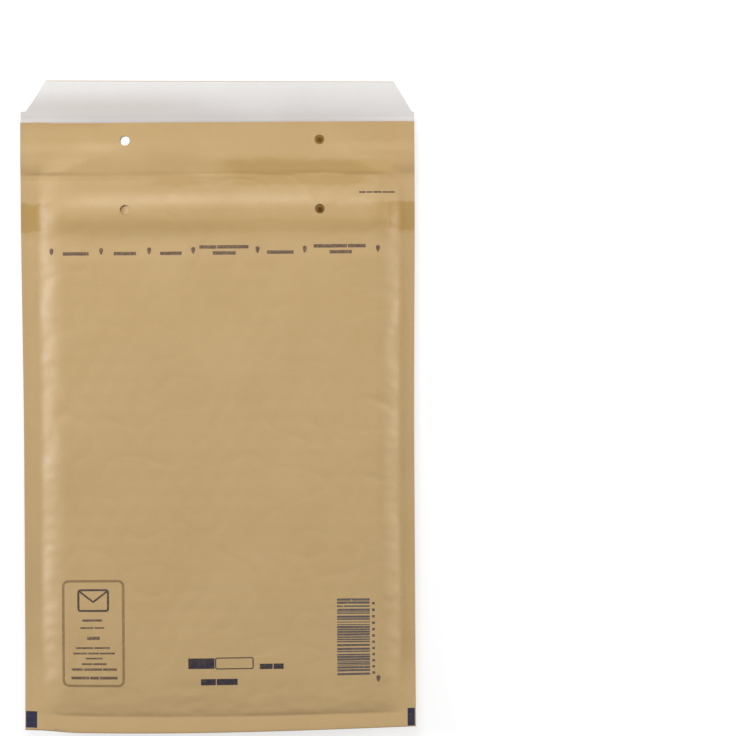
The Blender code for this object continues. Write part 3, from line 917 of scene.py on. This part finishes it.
def bar(x, y, length, height):
    """A straight printed bar, centred on x and y, with points every millimetre along and across."""
    steps = max(2, round(length / 0.001) + 1)
    path = np.stack([np.linspace(x - length / 2, x + length / 2, steps), np.full(steps, y)], axis=-1)
    return ribbon(path, height / 2, max(2, round(height / 0.001) + 1))


def upright(x, y, width, height):
    """A printed bar whose long side runs up the envelope."""
    steps = max(2, round(height / 0.001) + 1)
    path = np.stack([np.full(steps, x), np.linspace(y + height / 2, y - height / 2, steps)], axis=-1)
    return ribbon(path, width / 2, max(2, round(width / 0.001) + 1))


def ring_path(x, y, width, height, corner):
    """A rounded rectangle: a point each half millimetre along four straight sides and quarter circles."""
    quarter = np.linspace(0, math.pi / 2, 7)
    points = []
    for k, (sx, sy) in enumerate(((1, 1), (-1, 1), (-1, -1), (1, -1))):
        turn = quarter + k * math.pi / 2
        corner_x = x + sx * (width / 2 - corner) + corner * np.cos(turn)
        corner_y = y + sy * (height / 2 - corner) + corner * np.sin(turn)
        points.append(np.stack([corner_x, corner_y], axis=-1))
    loop = np.concatenate(points + [points[0][:1]])
    length = np.concatenate(([0], np.cumsum(np.linalg.norm(np.diff(loop, axis=0), axis=1))))
    even = np.linspace(0, length[-1], round(length[-1] / 0.0005))
    return np.stack([np.interp(even, length, loop[:, 0]), np.interp(even, length, loop[:, 1])], axis=-1)


# Print, in the paper's own x and y. Words and names are plain bars, and the marks are plain shapes
TICK_Y = 0.2445
TICK_POINTS = 9
TICKS_X = (-0.0843, -0.0590, -0.0347, -0.0124, 0.0202, 0.0441, 0.0812)
WORD_BARS = (  # x, height over the ticks, length
    (-0.0719, -0.0007, 0.0135), (-0.0470, -0.0007, 0.0117), (-0.0237, -0.0007, 0.0114),
    (0.0032, 0.0024, 0.0254), (0.0033, -0.0007, 0.0121), (0.0317, -0.0004, 0.0140),
    (0.0618, 0.0026, 0.0268), (0.0623, -0.0004, 0.0117),
)
WORD_HEIGHT = 0.0017
WORD_GAP = 0.0005
TWO_WORDS = 0.02  # bars longer than this are two words
FRAME_X, FRAME_Y = -0.0641, 0.0512
FRAME_WIDTH, FRAME_HEIGHT, FRAME_CORNER = 0.0304, 0.0536, 0.0027
FRAME_LINE = 0.00060
FRAME_WORD = 0.0075
SIGN_UP = 0.0170
FRAME_ROWS = (  # from the frame's middle: x, y, length, height
    (-0.0005, 0.0069, 0.0105, 0.0011), (-0.0005, 0.0031, 0.0125, 0.0008), (0.0, -0.0022, 0.0068, 0.0016),
    (-0.0003, -0.0072, 0.0178, 0.0009), (0.0003, -0.0100, 0.0215, 0.0009), (0.0003, -0.0126, 0.0090, 0.0008),
    (0.0003, -0.0155, 0.0130, 0.0009), (0.0004, -0.0183, 0.0234, 0.0012), (0.0004, -0.0227, 0.0238, 0.0014),
)
CODE_X, CODE_Y, CODE_LONG, CODE_TALL = 0.0676, 0.0478, 0.0165, 0.0414
NAME_X, NAME_Y = -0.0050, 0.0357
NAME_ROWS = ((0.0311, -0.0018, 0.0125, 0.0028), (0.0045, -0.0096, 0.0190, 0.0032))  # like FRAME_ROWS
CORNER_MARKS = ((-0.0958, 0.0056, 0.0056, 0.0084), (0.0966, 0.0051, 0.0036, 0.0090))


def tick(x, y):
    """A small drop: a short upright stroke, round above and pointed below."""
    share = np.linspace(0, 1, TICK_POINTS)
    path = np.stack([np.full(TICK_POINTS, x), y + 0.0018 - 0.0036 * share], axis=-1)
    return ribbon(path, 0.00112 * np.sqrt(share * (1 - share) * 4) * (1.15 - 0.7 * share) + 0.00004)


def dashes(x, y, length, height, words):
    """A line of print as plain dashes, each as long as a word."""
    draw = np.random.default_rng(round(abs(x * 1e6 + y * 1e5)))
    share = draw.uniform(0.6, 1.4, words)
    share /= share.sum()
    ends = np.concatenate(([0], np.cumsum(share))) * length + x - length / 2
    return [bar((a + b) / 2, y, b - a - WORD_GAP, height) for a, b in zip(ends, ends[1:])]


def small_print(dark, pale, grey):
    """Ticks, words and the frame with its rows, and in the frame a plain drawing of an envelope."""
    strokes = [tick(x, TICK_Y + 0.0008 + 0.005 * x) for x in TICKS_X] + [tick(0.0801, 0.0263)]
    for x, rise, length in WORD_BARS:
        strokes += dashes(x, TICK_Y + rise, length, WORD_HEIGHT, 2 if length > TWO_WORDS else 1)
    strokes += dashes(0.0808, 0.2743, 0.0185, 0.0009, 4)
    for x, y, length, height in FRAME_ROWS:
        words = max(1, round(length / FRAME_WORD))
        strokes += dashes(FRAME_X + x, FRAME_Y + y, length, height, words)
    make_piece("brown_print", strokes, dark, "kraft_outer")
    frame_line = ribbon(ring_path(FRAME_X, FRAME_Y, FRAME_WIDTH, FRAME_HEIGHT, FRAME_CORNER), FRAME_LINE)
    make_piece("frame_line", [frame_line], pale, "kraft_outer")

    sign_x, sign_y = FRAME_X, FRAME_Y + SIGN_UP
    outline = ring_path(sign_x, sign_y, 0.0150, 0.0105, 0.0010)
    fold = np.array([(-0.0070, 0.0046), (0.0, -0.0008), (0.0070, 0.0046)])
    share = np.linspace(0, 2, 21)
    fold_path = np.stack([np.interp(share, range(3), fold[:, k]) for k in (0, 1)], axis=-1)
    sign = [ribbon(outline, 0.00050), ribbon(fold_path + (sign_x, sign_y), 0.00045)]
    make_piece("frame_sign", sign, grey, "kraft_outer")


def striped_block(material):
    """Plain bars of uneven thickness, one above the other, with short ticks down their right side."""
    draw = np.random.default_rng(7)
    y = CODE_Y + CODE_TALL / 2
    strokes = []
    while y > CODE_Y - CODE_TALL / 2 + 0.001:
        thick = draw.choice([0.00045, 0.00075, 0.0011])
        strokes.append(bar(CODE_X, y - thick / 2, CODE_LONG, thick))
        y -= thick + draw.choice([0.0003, 0.00045, 0.0009])
    for share in np.linspace(-0.44, 0.44, 12):
        strokes.append(bar(CODE_X + CODE_LONG / 2 + 0.0019, CODE_Y + share * CODE_TALL, 0.0013, 0.0013))
    make_piece("striped_block", strokes, material, "kraft_outer")


def name_place(black, navy):
    """The name's place, kept as plain bars of the same size and colour, and the marks at the two corners."""
    strokes = [bar(NAME_X - 0.0045, NAME_Y, 0.0132, 0.0054)]
    strokes.append(ribbon(ring_path(NAME_X + 0.0122, NAME_Y, 0.0190, 0.0056, 0.0008), 0.00025))
    for x, y, length, height in NAME_ROWS:
        strokes += dashes(NAME_X + x, NAME_Y + y, length, height, 2)
    make_piece("name_bars", strokes, black, "kraft_outer")
    make_piece("corner_marks", [upright(*mark) for mark in CORNER_MARKS], navy, "kraft_outer")


def area_lamp(name, place, energy, size, colour):
    """A square lamp at a place, turned to the origin."""
    lamp = bpy.data.lights.new(name, "AREA")
    lamp.energy, lamp.shape, lamp.size, lamp.color = energy, "SQUARE", size, colour
    made = bpy.data.objects.new(name, lamp)
    made.location = place
    x, y, z = place
    made.rotation_euler = (math.atan2(math.hypot(x, y), z), 0.0, math.atan2(-y, -x) - math.pi / 2)
    bpy.context.scene.collection.objects.link(made)


def floor_spot(tree, x, y):
    """1 within SPOT of a place on the floor and 0 outside it, and the distance from the place."""
    terms = {0: object_point(tree), 1: (x, y, 0)}
    offset = node_in(tree, "VectorMath", terms, operation="SUBTRACT").outputs[0]
    length = node_in(tree, "VectorMath", {0: offset}, operation="LENGTH").outputs["Value"]
    return arithmetic(tree, "LESS_THAN", length, SPOT), length


def floor_material():
    """White floor: it takes the shadow, and looks white to the camera and in reflections. Under the two
    right holes, where only the holes show it, it is brown, its glow a painted shade darkest at each hole's
    middle, and under the upper left hole it glows more, a painted light so that hole looks white."""
    made = bpy.data.materials.new("white floor")
    made.use_nodes = True
    tree = made.node_tree
    tree.nodes.clear()
    out = node_in(tree, "OutputMaterial")
    paint = node_in(tree, "BsdfDiffuse")
    glow = node_in(tree, "Emission")
    both = node_in(tree, "AddShader")
    link = tree.links.new
    rays = node_in(tree, "LightPath").outputs
    seen = highest(tree, rays["Is Camera Ray"], rays["Is Glossy Ray"], rays["Is Transmission Ray"])
    spots = [floor_spot(tree, x, y + cad_low.y) for x, y in (LOWER_HOLES[1], UPPER_HOLES[1])]
    spot = highest(tree, spots[0][0], spots[1][0])
    away = ranged(tree, arithmetic(tree, "MINIMUM", spots[0][1], spots[1][1]), 0.0005, 0.0026)
    link(blend_colours(tree, spot, FLOOR_GREY, FLOOR_TAN), paint.inputs["Color"])
    # Painted shade: the glow under the right holes is dark brown at each hole's middle, lighter brown further
    # out
    brown = blend_colours(tree, away, *HOLE_SHADE_BROWNS)
    link(blend_colours(tree, spot, (1, 1, 1, 1), brown), glow.inputs["Color"])
    # Painted light: more glow under the upper left hole, so that the hole looks white
    painted_light_spot = floor_spot(tree, UPPER_HOLES[0][0], UPPER_HOLES[0][1] + cad_low.y)[0]
    strength = arithmetic(tree, "MULTIPLY_ADD", painted_light_spot, HOLE_LIGHT_GLOW, FLOOR_GLOW)
    link(times(tree, seen, strength), glow.inputs["Strength"])
    link(paint.outputs[0], both.inputs[0])
    link(glow.outputs[0], both.inputs[1])
    link(both.outputs[0], out.inputs["Surface"])
    return made


# Studio
FLOOR_HALF = 2.0
FLOOR_GLOW = 0.62
FLOOR_GREY = (0.50, 0.50, 0.50, 1)
SPOT = 0.008
# Extra glow under the upper left hole: painted light
HOLE_LIGHT_GLOW = 0.34
FLOOR_TAN = (0.60, 0.36, 0.13, 1)
# Glow under the right holes: painted shade, dark brown in the middle to lighter brown
HOLE_SHADE_BROWNS = ((0.08, 0.03, 0.003, 1), (0.46, 0.28, 0.09, 1))
WORLD_STRENGTH = 0.43
LAMPS = (  # name, place, strength, size, colour
    ("top lamp", (-0.05, 0.82, 0.58), 4.8, 0.40, (1, 1, 1)),
    ("left lamp", (-1.30, 0.15, 0.46), 11.5, 0.36, (0.95, 0.99, 1.10)),
    ("right lamp", (1.40, 0.10, 0.36), 9.2, 0.40, (1, 1, 1)),
)
SENSOR = 36.0
CAMERA_DISTANCE = 2.2
PIXELS = 736
PIXELS_PER_METRE = 1975.0  # of the photograph, on the envelope's front
ORIGIN_PIXEL = (218.6, 407.6)  # where the middle of the outline lies in the photograph
CAMERA_ROLL = math.radians(-0.35)


def studio():
    """The floor, an even white world that looks full white to the camera, and the lamps."""
    h = FLOOR_HALF
    mesh = bpy.data.meshes.new("floor")
    mesh.from_pydata([(-h, -h, 0), (h, -h, 0), (h, h, 0), (-h, h, 0)], [], [(0, 1, 2, 3)])
    mesh.materials.append(floor_material())
    floor = bpy.data.objects.new("floor", mesh)
    bpy.context.scene.collection.objects.link(floor)

    world = bpy.data.worlds.new("studio")
    world.use_nodes = True
    tree = world.node_tree
    camera_ray = node_in(tree, "LightPath").outputs["Is Camera Ray"]
    strength = arithmetic(tree, "MULTIPLY_ADD", camera_ray, 1.0 - WORLD_STRENGTH, WORLD_STRENGTH)
    tree.links.new(strength, tree.nodes["Background"].inputs["Strength"])
    tree.nodes["Background"].inputs["Color"].default_value = (1, 1, 1, 1)
    bpy.context.scene.world = world
    for lamp in LAMPS:
        area_lamp(*lamp)


def camera():
    """Straight above, at the photograph's scale, with the envelope's middle at its own pixel."""
    right = (PIXELS / 2 - ORIGIN_PIXEL[0]) / PIXELS_PER_METRE
    up = (ORIGIN_PIXEL[1] - PIXELS / 2) / PIXELS_PER_METRE
    cos, sin = math.cos(CAMERA_ROLL), math.sin(CAMERA_ROLL)
    lens = bpy.data.cameras.new("camera")
    lens.sensor_width = SENSOR
    lens.lens = SENSOR * CAMERA_DISTANCE * PIXELS_PER_METRE / PIXELS
    lens.clip_start = 0.05
    made = bpy.data.objects.new("camera", lens)
    made.location = (right * cos - up * sin, right * sin + up * cos, TOP + CAMERA_DISTANCE)
    made.rotation_euler = (0, 0, CAMERA_ROLL)
    bpy.context.scene.collection.objects.link(made)
    bpy.context.scene.camera = made


PAPER_GRAIN = paper_grain_group()
SOFT_BAND = band_group()

kraft = kraft_material()
brown_ink = ink_material("brown ink", (0.125, 0.080, 0.058), 0.50)
pale_ink = ink_material("pale brown ink", (0.265, 0.170, 0.080), 0.40)
black_ink = ink_material("black ink", (0.032, 0.026, 0.038), 0.15)
navy_ink = ink_material("navy ink", (0.018, 0.020, 0.055), 0.10)
grey_ink = ink_material("grey ink", (0.100, 0.085, 0.085), 0.25)
sign_ink = ink_material("dark grey ink", (0.060, 0.046, 0.046), 0.30)

kraft_sheet(kraft)
bubble_lining(film_material())
glue_bead("front_glue", 1, "front_glue_line", glue_material("hot glue", (0.50, 0.33, 0.13), 0.9))
glue_bead("back_glue", -1, "back_glue_line", bpy.data.materials["hot glue"])
flap_adhesive(glue_material("clear adhesive", (0.80, 0.78, 0.68), 0.7))
release_strip(white_paper_material())
small_print(brown_ink, pale_ink, sign_ink)
striped_block(grey_ink)
name_place(black_ink, navy_ink)
studio()
camera()

bpy.context.scene.view_settings.view_transform = "Standard"
